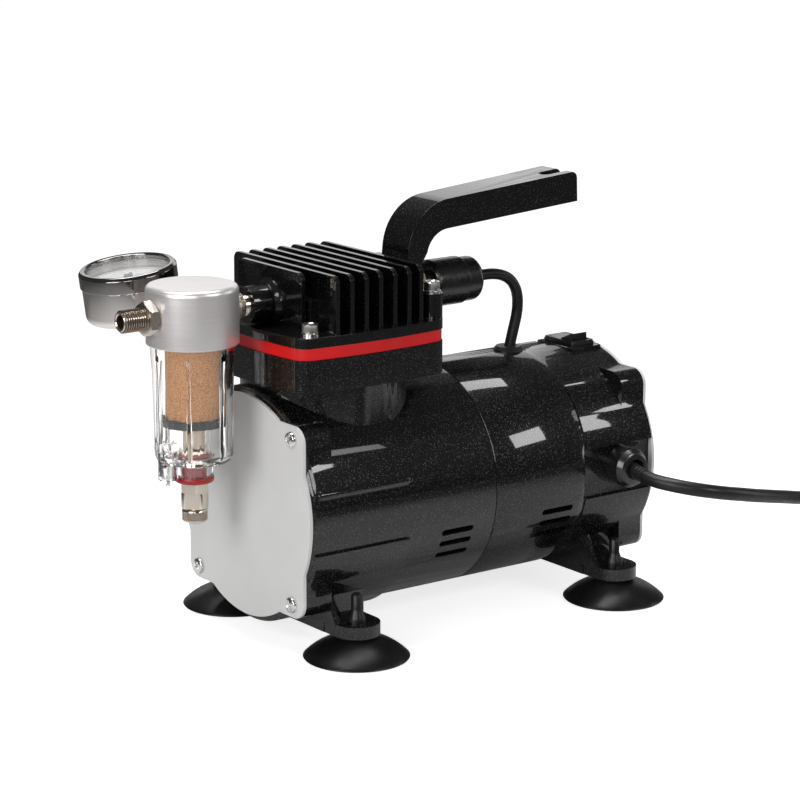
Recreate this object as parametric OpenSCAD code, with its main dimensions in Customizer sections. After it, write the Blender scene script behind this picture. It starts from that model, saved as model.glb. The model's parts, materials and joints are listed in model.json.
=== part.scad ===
// Small single-cylinder airbrush compressor with a filter, a gauge and a carry handle.
// The origin is on the floor under the middle of the machine. +X runs from the filter end to the switch end,
// -Y is the side that the mains cord leaves, and +Z is up. Millimetres.

/* [Body] */
// Radius of the round motor body
body_r = 50; // [49.5:0.1:50.5]
// Height of the motor axis above the floor
body_z = 60.6; // [60.6:0.1:61.4]
// Thickness of the two grey end plates
plate_t = 1.5; // [1.2:0.1:2]
// Wall thickness of the cast housings
wall_t = 4; // [3.8:0.1:4.2]

/* [Compressor] */
// Bore radius of the cylinder sleeve
bore_r = 22; // [22:0.1:22.4]
// Crank throw, half the stroke
crank_throw = 5; // [4:0.25:5]
// Height of the fins' top edge above the floor
fin_top = 163.7; // [163:0.1:165]
// Number of full-width cooling fins
fin_count = 7; // [5:1:8]
// Thickness of a cooling fin
fin_t = 2.1; // [1.6:0.1:2.6]

/* [Filter] */
// Outer radius of the filter cap
cap_r = 19.7; // [19.6:0.05:19.8]
// Radius of the outlet nipple's thread
nipple_r = 4.86; // [4.86:0.01:4.9]

/* [Gauge] */
// Outer radius of the gauge bezel
gauge_r = 21.3; // [21.2:0.1:21.6]
// Tilt of the gauge on its stem, in degrees
gauge_tilt = 8; // [0:1:10]

/* [Feet] */
// Radius of a suction cup
cup_r = 23; // [21:0.5:23]

/* [Power cord] */
// Diameter of the mains cord
cord_d = 6.3; // [6:0.1:6.5]

/* [Hidden] */
$fn = 96;
eps = 0.01;

// Stations along X
front_x = -65;
rear_x = 123.6;
seam_x = 32.8;
inner_r = body_r - wall_t;
ear_l = 13;
front_ear_w = 88;
rear_ear_w = 84;
ear_h = 83.5;
ear_r = 7;
screw_off = 36;
front_foot_x = -41.4;
rear_foot_x = 103.4;
foot_y = 47.4;
foot_w = 21;
foot_z = 10.2;
pad_r = 10.2;
pad_top = 15.6;
band_up = 12.5;

// Cylinder and head
head_x = -25;
flange_z = 115.5;
ring_z = 129.5;
ring_t = 5.3;
head_z = ring_z + ring_t;
head_plate_t = 4.4;
fin_z = head_z + head_plate_t;
fin_pitch = 7.47;
fin_x0 = -44.5;
port_z = 148;
port_face_x = -65.7;
head_screw_x = -22.3;
head_screw_off = 32;
rear_seat_z = 150;
head_hx = 38.6;
head_hy = 39;
neck_r = 36.3;
switch_z = 146.2;
handle_screw_z = 155.8;
slot_x = 96.8;
slot_y = -2.9;
slot_w = 7;
slot_z = 184;

// Crank and motor
shaft_r = 5;
pin_r = 4;
bearing_r = 13;
bearing_w = 8;
bulkhead_x = -6;
rear_web_x = 84;
rod_x = head_x;
pin_z = body_z + crank_throw;

// Filter
filter_x = -92;
cap_z = 135;
cap_top = 160.3;
bowl_z = 84.3;
neck_z = 77.8;
nipple_z = 148;
nipple_tip_x = -127.5;
element_z = 103.7;
seal_z = 75.1;
drain_z = 63.6;
knob_z = 57.6;
side_angle = 169;
side_off = 11.9;
side_z = 77.1;
side_r = 4.2;

// Gauge
gauge_y = 48.4;
gauge_z = 146.5;

// Mains cord
rocker_x = 114.3;
gland_x = 107;
gland_z = 61.5;
cord_r = cord_d / 2;
relief_tilt = 9;
coil_x = 333;
coil_y = -16;
coil_mid_r = 36;
tie_angle = -20;

// Route of the mains cord from the strain relief to the coil
cord_route = [
    [107, -64, 59.3], [107.4, -67.4, 58.9], [108.6, -71.6, 58.4], [110.9, -76.2, 57.9], [114.6, -80.9, 57.1],
    [120, -85, 56], [126.3, -87.6, 54.7], [133, -88.5, 53.2], [143, -87.8, 50.9], [153, -86, 48.4],
    [163, -83.2, 45.9], [173, -79.8, 43.3], [183, -75.6, 40.6], [193, -70.8, 37.7], [203, -65, 34.7],
    [213, -58, 31.3], [223, -50, 27.5], [233, -41, 23.4], [243, -31.6, 19.2], [253, -22, 15.2],
    [263, -12.5, 11.6], [273, -3.5, 8.5], [283, 4.8, 6], [293, 12, 4.3], [303, 18, 3.5], [313, 22.6, 3.2],
    [323, 25.3, 3.2], [333, 26.2, 3.2]
];
// Route of the loop cable from the pressure switch to its grommet
loop_route = [
    [55.2, 0, 146.2], [60, 0, 146.6], [65, 0, 146.7], [70, 0, 146.3], [74.8, 0, 145], [78.6, 0, 142.8],
    [81.4, 0, 139.4], [82.9, 0, 135.4], [83.3, 0, 131], [82.8, 0, 126.3], [81.6, 0, 121.6],
    [80.3, 0, 117], [79.2, 0, 112.8], [78.5, 0, 109], [78.2, 0, 105.4]
];
// Route from the coil to the plug
tail_route = [
    [333, -58.5, 9.8], [322, -59.5, 8.5], [311, -62, 6.5], [301, -66, 6.6], [292, -70, 9], [284, -72, 12]
];

// ---- helpers ----

module x_cyl(x0, x1, r) {
    translate([x0, 0, body_z]) rotate([0, 90, 0]) cylinder(r = r, h = x1 - x0);
}

module x_cone(x0, x1, ra, rb) {
    translate([x0, 0, body_z]) rotate([0, 90, 0]) cylinder(r1 = ra, r2 = rb, h = x1 - x0);
}

// A 2D outline in the YZ plane about the motor axis, extruded along X
module x_profile(x0, x1) {
    translate([x0, 0, body_z]) rotate([90, 0, 90]) linear_extrude(x1 - x0) children();
}

module round_rect(w, h, r) {
    square([w - 2 * r, h], center = true);
    square([w, h - 2 * r], center = true);
    for (sx = [-1, 1], sy = [-1, 1]) translate([sx * (w / 2 - r), sy * (h / 2 - r)]) circle(r, $fn = 48);
}

// Points of an arc in degrees
function arc(cx, cy, r, a0, a1, n) = [for (i = [0:n])
    let (a = a0 + (a1 - a0) * i / n) [cx + r * cos(a), cy + r * sin(a)]];

// Points of an arc through two ends that bulges to the right of their direction
function bow(a, b, bulge, n) = let (d = b - a, m = (a + b) / 2, side = [d[1], -d[0]] / norm(d))
    [for (i = [1:n - 1]) let (t = 2 * i / n - 1) m + d / 2 * t + side * bulge * (1 - t * t)];

// A rounded square whose four sides bulge outward
module squircle(hx, hy, r, bulge) {
    lx = hx - r;
    ly = hy - r;
    polygon(concat(
        arc(lx, -ly, r, -90, 0, 6), bow([hx, -ly], [hx, ly], bulge, 12),
        arc(lx, ly, r, 0, 90, 6), bow([lx, hy], [-lx, hy], bulge, 12),
        arc(-lx, ly, r, 90, 180, 6), bow([-hx, ly], [-hx, -ly], bulge, 12),
        arc(-lx, -ly, r, 180, 270, 6), bow([-lx, -hy], [lx, -hy], bulge, 12)));
}

function unit(v) = v / norm(v);
function route_dir(p, i) = unit(p[min(i + 1, len(p) - 1)] - p[max(i - 1, 0)]);

// A round tube along a route, as one solid; the route never runs along the up vector
module tube(p, r, sides, up) {
    n = len(p);
    rings = [for (i = [0:n - 1]) let (d = route_dir(p, i), s = unit(cross(d, up)), u = cross(s, d))
        for (k = [0:sides - 1]) let (a = 360 * k / sides) p[i] + r * (cos(a) * s + sin(a) * u)];
    walls = [for (i = [0:n - 2], k = [0:sides - 1]) let (j = (k + 1) % sides)
        [i * sides + k, i * sides + j, (i + 1) * sides + j, (i + 1) * sides + k]];
    start = [[for (k = [0:sides - 1]) sides - 1 - k]];
    end = [[for (k = [0:sides - 1]) (n - 1) * sides + k]];
    polyhedron(points = rings, faces = concat(walls, start, end), convexity = 4);
}

// ---- housings ----

module end_outline(w) {
    circle(body_r - 1);
    round_rect(w, ear_h, ear_r);
}

module foot_pads(x) {
    translate([x - foot_w / 2, -38, foot_z]) cube([foot_w, 76, 32]);
    for (s = [-1, 1]) {
        translate([x, s * foot_y, foot_z]) cylinder(r = pad_r, h = pad_top - foot_z);
        translate([x - pad_r, s * 43 - 5.5, foot_z]) cube([2 * pad_r, 11, pad_top - foot_z]);
        translate([x - foot_w / 2, 0, 0]) rotate([90, 0, 90]) linear_extrude(3)
            polygon([[s * 37, pad_top - 1], [s * 46.5, pad_top - 1], [s * 46.5, pad_top], [s * 37, 30]]);
    }
}

module foot_holes(x) {
    for (s = [-1, 1]) translate([x, s * foot_y, 0]) cylinder(r = 3.2, h = pad_top + 12);
}

// Raised pads above and below the plain band at motor-axis height
module raised_pads(x0, x1, r) {
    for (s = [-1, 1]) intersection() {
        union() {
            x_cyl(x0, x1 - 1.5, r);
            x_cone(x1 - 1.5, x1, r, body_r - 0.5);
            x_cone(x0 - 1, x0, r - 1, r);
        }
        translate([x0 - 2, -60, body_z + (s > 0 ? band_up : -60 - band_up)]) cube([x1 - x0 + 4, 120, 60]);
    }
}

// The rounded lip along the lower edge of the upper pad
module pad_lips(x0, x1, r) {
    for (s = [-1, 1]) translate([x0, s * 48.2, body_z + band_up + 0.8]) {
        rotate([0, 90, 0]) cylinder(r = r, h = x1 - x0, $fn = 32);
        sphere(r, $fn = 32);
        translate([x1 - x0, 0, 0]) sphere(r, $fn = 32);
    }
}

module vent_slots(x0, x1) {
    for (side = [0, 1], a = [16, 22.6, 29.8]) mirror([0, side, 0]) translate([0, 0, body_z]) rotate([a, 0, 0]) {
        translate([x0, -60, -1.4]) cube([x1 - x0, 20, 2.8]);
        for (x = [x0, x1]) translate([x, -40, 0]) rotate([90, 0, 0]) cylinder(r = 1.4, h = 20, $fn = 32);
    }
}

module front_housing() color([0.06, 0.06, 0.065]) {
    difference() {
        union() {
            x_cone(front_x, front_x + 1, body_r - 1, body_r);
            x_cyl(front_x + 1, seam_x - 0.6, body_r);
            x_cone(seam_x - 0.6, seam_x, body_r, body_r - 0.6);
            raised_pads(front_x + 2, -13.5, body_r + 1.6);
            pad_lips(front_x + 4, -16.5, 2.4);
            x_profile(front_x, front_x + ear_l) round_rect(front_ear_w, ear_h, ear_r);
            foot_pads(front_foot_x);
            translate([head_x, 0, flange_z]) linear_extrude(ring_z - flange_z) squircle(head_hx, head_hy, 6.5, 2);
            translate([head_x, 0, 85]) cylinder(r = neck_r, h = flange_z - 84);
        }
        x_cyl(front_x - 1, bulkhead_x, inner_r - 1);
        x_cyl(bulkhead_x + bearing_w, seam_x + 1, inner_r);
        x_cyl(bulkhead_x - 1, bulkhead_x + bearing_w + 1, bearing_r + 0.02);
        translate([head_x, 0, 90]) cylinder(r = bore_r + 3.05, h = 60);
        translate([head_x, 0, ring_z - 2.05]) cylinder(r = bore_r + 6.05, h = 4);
        vent_slots(5.2, 19.6);
        foot_holes(front_foot_x);
        for (sy = [-1, 1], sz = [-1, 1]) translate([front_x - 1, sy * screw_off, body_z + sz * screw_off])
            rotate([0, 90, 0]) cylinder(r = 2.02, h = 11, $fn = 32);
        for (sx = [-1, 1], sy = [-1, 1]) translate([head_screw_x + sx * head_screw_off, sy * head_screw_off, 118])
            cylinder(r = 2.02, h = 20, $fn = 32);
    }
    difference() {
        x_cyl(bulkhead_x, bulkhead_x + bearing_w, inner_r - 0.5);
        x_cyl(bulkhead_x - 1, bulkhead_x + bearing_w + 1, bearing_r + 0.02);
        translate([head_x, 0, 96.9]) cylinder(r = bore_r + 3.05, h = 20);
        for (a = [0, 90, 180, 270]) translate([0, 28 * cos(a), body_z + 28 * sin(a)]) rotate([0, 90, 0])
            translate([0, 0, bulkhead_x - 1]) cylinder(r = 9, h = bearing_w + 2);
    }
}

module rear_housing() color([0.06, 0.06, 0.065]) {
    step_x = 81;
    end_r = body_r - 1.4;
    difference() {
        union() {
            x_cone(seam_x, seam_x + 0.6, body_r - 0.6, body_r);
            x_cyl(seam_x + 0.6, step_x, body_r);
            x_cone(step_x, step_x + 7, body_r, end_r);
            x_cyl(step_x + 7, rear_x, end_r);
            // side pads between the plain top and the cord pocket, and below the pocket
            for (s = [-1, 1]) intersection() {
                x_cyl(step_x + 4, rear_x, body_r - 0.2);
                translate([step_x, -60, body_z + (s > 0 ? 11.5 : -38)]) cube([50, 120, 26.5]);
            }
            x_profile(rear_x - ear_l, rear_x) round_rect(rear_ear_w, ear_h, ear_r);
            foot_pads(rear_foot_x);
            // seat of the rocker switch
            translate([rocker_x - 8.5, -12.5, 100]) cube([17, 25, 9.3]);
        }
        // pockets round the cord gland
        for (s = [-1, 1]) translate([step_x + 2.5, s * 54.3 - 8, body_z - 11]) cube([50, 16, 22.5]);
        x_cyl(seam_x - 1, rear_web_x, inner_r);
        x_cyl(rear_web_x + bearing_w, rear_x + 1, inner_r - 4);
        x_cyl(rear_web_x - 1, rear_web_x + bearing_w + 1, bearing_r + 0.02);
        for (a = [45, 135, 225, 315]) translate([0, 27 * cos(a), body_z + 27 * sin(a)]) rotate([0, 90, 0])
            translate([0, 0, rear_web_x - 1]) cylinder(r = 9, h = bearing_w + 2);
        vent_slots(61.4, 76.2);
        foot_holes(rear_foot_x);
        for (sy = [-1, 1], sz = [-1, 1]) translate([rear_x - 10, sy * screw_off, body_z + sz * screw_off])
            rotate([0, 90, 0]) cylinder(r = 2.02, h = 11, $fn = 32);
        translate([gland_x, -30, gland_z]) rotate([90, 0, 0]) cylinder(r = 6.02, h = 30);
        translate([78, 0, 90]) cylinder(r = 4.02, h = 30, $fn = 48);
        translate([rocker_x - 6.1, -9.6, 90]) cube([12.2, 19.2, 30]);
    }
}

module cover(x0, w) {
    difference() {
        x_profile(x0, x0 + plate_t) end_outline(w);
        for (sy = [-1, 1], sz = [-1, 1]) translate([x0 - 1, sy * screw_off, body_z + sz * screw_off])
            rotate([0, 90, 0]) cylinder(r = 2.2, h = plate_t + 2, $fn = 32);
    }
}

module front_cover() color([0.72, 0.72, 0.715]) cover(front_x - plate_t, front_ear_w);
module rear_cover() color([0.72, 0.72, 0.715]) cover(rear_x, rear_ear_w);

// A pan-head screw pointing along -Z with its head above z = 0
module pan_screw(shank, head_r, head_h) {
    difference() {
        union() {
            translate([0, 0, -shank]) cylinder(r = 2, h = shank + eps, $fn = 32);
            cylinder(r = head_r, h = head_h * 0.45, $fn = 48);
            translate([0, 0, head_h * 0.45]) cylinder(r1 = head_r, r2 = head_r * 0.6, h = head_h * 0.55, $fn = 48);
        }
        for (a = [45, 135]) rotate(a) translate([-head_r * 0.5, -0.45, head_h - 1.1]) cube([head_r, 0.9, 2]);
    }
}

module cover_screws() color([0.8, 0.8, 0.8]) {
    for (sy = [-1, 1], sz = [-1, 1]) {
        translate([front_x - plate_t, sy * screw_off, body_z + sz * screw_off]) rotate([0, -90, 0])
            pan_screw(9, 3.6, 2.4);
        translate([rear_x + plate_t, sy * screw_off, body_z + sz * screw_off]) rotate([0, 90, 0])
            pan_screw(9, 3.6, 2.4);
    }
}

// Long bolts that pull the rear housing and the stator to the front housing
module housing_bolts() color([0.6, 0.6, 0.62]) {
    for (a = [0, 90, 180, 270]) translate([0, 38 * cos(a), body_z + 38 * sin(a)]) rotate([0, 90, 0]) {
        translate([0, 0, bulkhead_x + bearing_w])
            cylinder(r = 2, h = rear_web_x - bulkhead_x - bearing_w, $fn = 32);
    }
}

// ---- feet ----

module suction_cup(x, y) color([0.05, 0.05, 0.05]) translate([x, y, 0]) rotate_extrude($fn = 64)
    polygon(concat(
        [[21.4, 0], [cup_r - 0.4, 0], [cup_r, 0.5]],
        arc(0, -22.2, 32.4, 45, 73, 7),
        [[9, 9.2], [6, 10.1], [3.1, 10.1], [3.1, pad_top], [4, pad_top], [4, pad_top + 1.2], [3, pad_top + 3.8],
         [2.35, pad_top + 5.6], [2.35, pad_top + 11.4], [1.6, pad_top + 12.4], [0, pad_top + 12.4], [0, 5.2]],
        arc(0, -26.8, 32, 80, 58, 4)
    ));

module suction_cup_front_left() suction_cup(front_foot_x, -foot_y);
module suction_cup_front_right() suction_cup(front_foot_x, foot_y);
module suction_cup_rear_left() suction_cup(rear_foot_x, -foot_y);
module suction_cup_rear_right() suction_cup(rear_foot_x, foot_y);

// ---- cylinder and head ----

module cylinder_sleeve() color([0.75, 0.75, 0.76]) translate([head_x, 0, 0]) difference() {
    union() {
        translate([0, 0, 97]) cylinder(r = bore_r + 3, h = ring_z - 97);
        translate([0, 0, ring_z - 2]) cylinder(r = bore_r + 6, h = 2);
    }
    translate([0, 0, 96]) cylinder(r = bore_r, h = 40);
}

module head_screw_holes(r, z0, h) {
    for (sx = [-1, 1], sy = [-1, 1]) translate([head_screw_x + sx * head_screw_off, sy * head_screw_off, z0])
        cylinder(r = r, h = h, $fn = 32);
}

module red_ring() color([0.75, 0.06, 0.08]) difference() {
    translate([head_x, 0, ring_z]) linear_extrude(ring_t) squircle(head_hx - 0.3, head_hy - 0.3, 6.5, 2);
    translate([head_x, 0, ring_z - 1]) cylinder(r = 31, h = ring_t + 2);
    head_screw_holes(2.2, ring_z - 1, ring_t + 2);
}

module valve_plate() color([0.55, 0.55, 0.57]) difference() {
    translate([head_x, 0, ring_z]) cylinder(r = 30.9, h = ring_t);
    for (s = [-1, 1]) translate([head_x, s * 9, ring_z - 1]) cylinder(r = 3, h = ring_t + 2, $fn = 32);
    translate([head_x - 5, -15, ring_z - eps]) cube([10, 22, 0.6]);
    translate([head_x - 5, -7, ring_z + ring_t - 0.6]) cube([10, 22, 0.6 + eps]);
}

// Intake reed under the valve plate, delivery reed on top of it
module reed_valves() color([0.7, 0.7, 0.72]) {
    translate([head_x - 4.5, -14.5, ring_z + 0.15]) cube([9, 21, 0.4]);
    translate([head_x - 4.5, -6.5, ring_z + ring_t - 0.55]) cube([9, 21, 0.4]);
}

module fin(x, hw) {
    r = 3.5;
    translate([x - fin_t / 2, 0, 0]) rotate([90, 0, 90]) linear_extrude(fin_t) {
        translate([-hw, fin_z - 1]) square([2 * hw, fin_top - r - fin_z + 1]);
        translate([r - hw, fin_z]) square([2 * hw - 2 * r, fin_top - fin_z]);
        for (s = [-1, 1]) translate([s * (hw - r), fin_top - r]) circle(r, $fn = 40);
    }
}

module cylinder_head() color([0.03, 0.03, 0.03]) difference() {
    union() {
        translate([head_x, 0, head_z]) linear_extrude(head_plate_t) squircle(head_hx, head_hy, 6.5, 2);
        // solid core that holds the valve chambers
        translate([-50, -26, head_z]) cube([49, 52, 17]);
        for (i = [0:fin_count - 1]) fin(fin_x0 + i * fin_pitch, i == fin_count - 1 ? 37 : 38.5);
        fin(-52, 24);
        // web that ties the fins together
        translate([-52, -1.1, head_z]) cube([52, 2.2, fin_top - head_z - 1]);
        // inlet boss towards the filter
        translate([port_face_x, 0, port_z]) rotate([0, 90, 0]) cylinder(r1 = 8, r2 = 8.7, h = 14);
        translate([-55.6, 0, port_z]) rotate([0, 90, 0]) cylinder(r1 = 8.5, r2 = 10.4, h = 2);
        translate([-53.6, 0, port_z]) rotate([0, 90, 0]) cylinder(r = 10.4, h = 4);
        // rear pad that carries the handle and the pressure switch
        translate([-2, -11, head_z]) cube([15, 22, 26]);
        for (s = [-1, 1]) translate([head_screw_x + head_screw_off, s * head_screw_off, fin_z - 1])
            cylinder(r = 4.6, h = rear_seat_z - fin_z + 1, $fn = 48);
    }
    translate([head_x, 0, head_z - 1]) cylinder(r = 20, h = 10);
    translate([-70, 0, port_z]) rotate([0, 90, 0]) cylinder(r = 4.62, h = 16);
    translate([-60, 0, port_z - 8]) cube([24, 2, 5]);
    translate([2, 0, switch_z]) rotate([0, 90, 0]) cylinder(r = 4.62, h = 14);
    translate([3, 0, handle_screw_z]) rotate([0, 90, 0]) cylinder(r = 1.77, h = 12, $fn = 32);
    head_screw_holes(2.2, head_z - 1, 20);
}

module head_screws() color([0.85, 0.84, 0.8]) for (sx = [-1, 1], sy = [-1, 1]) {
    seat = sx > 0 ? rear_seat_z : fin_z;
    translate([head_screw_x + sx * head_screw_off, sy * head_screw_off, 0]) difference() {
        union() {
            translate([0, 0, 121]) cylinder(r = 2, h = seat - 120, $fn = 32);
            translate([0, 0, seat]) cylinder(r = 3.9, h = 0.9, $fn = 48);
            translate([0, 0, seat + 0.9]) cylinder(r = 3.5, h = 4, $fn = 48);
        }
        translate([0, 0, seat + 2.7]) cylinder(r = 1.73, h = 4, $fn = 6);
    }
}

// ---- running gear ----

module connecting_rod() color([0.7, 0.7, 0.71]) difference() {
    union() {
        translate([rod_x - 3.5, 0, pin_z]) rotate([0, 90, 0]) cylinder(r = 15, h = 7);
        translate([rod_x - 3, -5, pin_z + 10]) cube([6, 10, 42.5]);
    }
    translate([rod_x - 6, 0, pin_z]) rotate([0, 90, 0]) cylinder(r = 11.02, h = 12);
}

module piston() color([0.75, 0.75, 0.76]) translate([head_x, 0, 0]) {
    cylinder_r = bore_r - crank_throw - 0.6;
    translate([0, 0, pin_z + 52.5]) cylinder(r = cylinder_r - 1.2, h = 3.5);
    translate([0, 0, pin_z + 58]) cylinder(r = cylinder_r - 2.2, h = 2);
    translate([0, 0, pin_z + 56]) cylinder(r = 6, h = 2 + eps);
}

module piston_seal() color([0.25, 0.2, 0.16]) translate([head_x, 0, pin_z + 56]) difference() {
    union() {
        cylinder(r = bore_r - crank_throw - 1.4, h = 2);
        translate([0, 0, 1]) cylinder(r = bore_r - crank_throw - 0.4, h = 4);
    }
    translate([0, 0, 2]) cylinder(r = bore_r - crank_throw - 1.4, h = 4);
    translate([0, 0, -1]) cylinder(r = 6, h = 4);
}

module rod_bearing() color([0.8, 0.8, 0.82]) translate([rod_x - 3.5, 0, pin_z]) rotate([0, 90, 0]) difference() {
    cylinder(r = 11, h = 7);
    translate([0, 0, -1]) cylinder(r = pin_r + 0.03, h = 9);
    for (z = [-1, 6]) translate([0, 0, z]) difference() {
        cylinder(r = 9, h = 2);
        cylinder(r = 6, h = 2);
    }
}

module crank_eccentric() color([0.55, 0.55, 0.57]) difference() {
    union() {
        translate([rod_x - 4.5, 0, pin_z]) rotate([0, 90, 0]) cylinder(r = pin_r, h = 8.6);
        translate([rod_x + 4, 0, pin_z]) rotate([0, 90, 0]) cylinder(r = 6.5, h = 2);
        x_cyl(rod_x + 6, bulkhead_x - 1.5, 10);
        // counterweight opposite the pin
        intersection() {
            x_cyl(rod_x + 6, rod_x + 13, 24);
            translate([rod_x, -25, body_z - 26]) cube([20, 50, 26]);
        }
    }
    x_cyl(rod_x + 8, bulkhead_x, shaft_r + 0.01);
    translate([rod_x - 6, 0, pin_z]) rotate([0, 90, 0]) cylinder(r = 1.5, h = 10, $fn = 32);
}

module crank_screw() color([0.7, 0.7, 0.72]) translate([rod_x - 4.5, 0, pin_z]) rotate([0, -90, 0]) {
    translate([0, 0, -8]) cylinder(r = 1.5, h = 8 + eps, $fn = 32);
    cylinder(r = 5.5, h = 0.8, $fn = 48);
    translate([0, 0, 0.8]) cylinder(r = 2.8, h = 2.2, $fn = 6);
}

module motor_shaft() color([0.7, 0.7, 0.72]) x_cyl(rod_x + 8, rear_web_x + bearing_w + 4, shaft_r);

module ball_bearing(x) color([0.8, 0.8, 0.82]) difference() {
    x_cyl(x, x + bearing_w, bearing_r);
    x_cyl(x - 1, x + bearing_w + 1, shaft_r + 0.04);
    for (s = [x - 1, x + bearing_w - 1]) difference() {
        x_cyl(s, s + 2, 11);
        x_cyl(s - 1, s + 3, 7.5);
    }
}

module front_bearing() ball_bearing(bulkhead_x);
module rear_bearing() ball_bearing(rear_web_x);

module rotor_core() color([0.5, 0.5, 0.5]) difference() {
    union() {
        x_cyl(26, 60, 23);
        x_cyl(23, 63, 18);
    }
    x_cyl(22, 64, shaft_r + 0.01);
}

module stator_core() color([0.45, 0.45, 0.46]) difference() {
    x_cyl(26, 60, inner_r - 0.05);
    x_cyl(25, 61, 23.4);
    for (k = [0:11]) translate([0, 0, body_z]) rotate([k * 30 + 15, 0, 0])
        translate([25, -1.8, 22]) cube([36, 3.6, 11]);
    for (a = [0, 90, 180, 270]) translate([0, 38 * cos(a), body_z + 38 * sin(a)]) rotate([0, 90, 0])
        translate([0, 0, 25]) cylinder(r = 2.02, h = 36, $fn = 32);
}

module stator_windings() color([0.6, 0.3, 0.12]) for (x = [18, 60]) difference() {
    union() {
        x_cone(x, x + 2, 31, 33);
        x_cyl(x + 2, x + 6, 33);
        x_cone(x + 6, x + 8, 33, 32);
    }
    x_cyl(x - 1, x + 9, 24.6);
}

// Radial fan that draws air through the motor
module cooling_fan() color([0.2, 0.2, 0.22]) difference() {
    union() {
        x_cyl(4.5, 14, 9);
        x_cyl(4.5, 6, 34);
        for (k = [0:9]) translate([0, 0, body_z]) rotate([k * 36, 0, 0])
            translate([5, -0.8, 8]) cube([9, 1.6, 27]);
    }
    x_cyl(4, 15, shaft_r + 0.01);
}

// ---- handle, switches and cable ----

module handle_side() {
    polygon(concat(
        [[13.1, 139.6], [19.2, 139.6], [19.5, 152], [21.2, 157.5]],
        arc(36, 160, 12, 168, 94, 8),
        [[108.5, 177.4], [108.1, 188]],
        arc(105.3, 188.2, 2.8, 0, 85, 3),
        arc(37, 162, 23.3, 95, 178, 12),
        [[13.1, 157]]
    ));
}

module carry_handle() color([0.05, 0.05, 0.05]) difference() {
    intersection() {
        translate([0, 15, 0]) rotate([90, 0, 0]) linear_extrude(30) handle_side();
        // narrow at the leg, wider towards the tip
        translate([0, 0, 130]) linear_extrude(70)
            polygon([[5, -9.7], [34, -9.7], [115, -11.2], [115, 11.2], [34, 9.7], [5, 9.7]]);
    }
    // open rest slot in the tip
    translate([slot_x, slot_y, slot_z]) {
        cylinder(r = slot_w / 2, h = 12, $fn = 48);
        translate([0, -slot_w / 2, 0]) cube([30, slot_w, 12]);
    }
    translate([0, 0, switch_z]) rotate([0, 90, 0]) cylinder(r = 5.1, h = 30);
    translate([0, 0, handle_screw_z]) rotate([0, 90, 0]) cylinder(r = 2.2, h = 30, $fn = 32);
    translate([18.4, 0, handle_screw_z]) rotate([0, 90, 0]) cylinder(r = 3.6, h = 12, $fn = 32);
}

module handle_screw() color([0.75, 0.75, 0.76]) translate([0, 0, handle_screw_z]) rotate([0, 90, 0]) difference() {
    union() {
        translate([0, 0, 5]) cylinder(r = 1.75, h = 14, $fn = 32);
        translate([0, 0, 18.4]) cylinder(r = 3.4, h = 3, $fn = 48);
    }
    translate([0, 0, 19.6]) cylinder(r = 1.5, h = 3, $fn = 6);
}

module switch_adaptor() color([0.72, 0.66, 0.45]) translate([0, 0, switch_z]) rotate([0, 90, 0]) difference() {
    union() {
        translate([0, 0, 4]) cylinder(r = 4.6, h = 31);
        translate([0, 0, 21.6]) cylinder(r = 7.4, h = 5.4, $fn = 6);
    }
    translate([0, 0, 3]) cylinder(r = 2, h = 40, $fn = 32);
}

module pressure_switch() color([0.03, 0.03, 0.03]) translate([0, 0, switch_z]) rotate([0, 90, 0]) difference() {
    union() {
        translate([0, 0, 27.5]) cylinder(r = 6.4, h = 3);
        translate([0, 0, 30.3]) cylinder(r1 = 9.2, r2 = 10.7, h = 1.7);
        translate([0, 0, 32]) cylinder(r = 10.7, h = 16.2);
    }
    translate([0, 0, 27]) cylinder(r = 4.62, h = 9);
}

module switch_boot() color([0.03, 0.03, 0.03]) translate([48.2, 0, switch_z]) rotate([0, 90, 0])
    rotate_extrude($fn = 64) polygon(concat([[0, 0], [10, 0]], arc(7.6, 6.2, 2.4, 0, 90, 5),
        [[2.6, 8.6], [2.6, 6.9], [0, 6.9]]));

module switch_cable() color([0.04, 0.04, 0.04]) tube(loop_route, 2.5, 12, [0, 1, 0]);

// Flanged rubber bush seated in the housing, with its flange on the round body
module cable_grommet() color([0.04, 0.04, 0.04]) difference() {
    union() {
        difference() {
            translate([78, 0, body_z + body_r - 1.2]) cylinder(r1 = 7.8, r2 = 5.6, h = 2.9, $fn = 64);
            x_cyl(60, 96, body_r + 0.03);
        }
        translate([78, 0, 104.6]) cylinder(r = 3.98, h = 6.6, $fn = 48);
    }
    translate([78, 0, 104]) rotate([0, 8, 0]) cylinder(r = 2.8, h = 20, $fn = 48);
    translate([78, 0, 100]) cylinder(r = 3, h = 6, $fn = 48);
}

module power_switch_body() color([0.03, 0.03, 0.03]) translate([rocker_x, 0, 0]) difference() {
    union() {
        translate([0, 0, 109.3]) linear_extrude(1.6) round_rect(13.6, 21, 1.2);
        translate([0, 0, 110.9]) linear_extrude(0.8) round_rect(12.8, 20.2, 1);
        translate([-6, -9.5, 94]) cube([12, 19, 16]);
    }
    translate([-5.3, -8.7, 103]) cube([10.6, 17.4, 12]);
}

// Rocker with one end up; its two faces meet in a shallow V
module power_switch_rocker() color([0.03, 0.03, 0.03]) translate([rocker_x, 0, 108]) rotate([-11, 0, 0]) {
    rotate([90, 0, 90]) translate([0, 0, -5]) linear_extrude(10)
        polygon([[-7.6, 5.3], [0, 3.6], [7.6, 5.3], [7.2, 0.4], [3, -2.4], [-3, -2.4], [-7.2, 0.4]]);
    // trunnions on the pivot axis
    rotate([0, 90, 0]) translate([0, 0, -5.2]) cylinder(r = 1.2, h = 10.4, $fn = 32);
}

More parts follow.
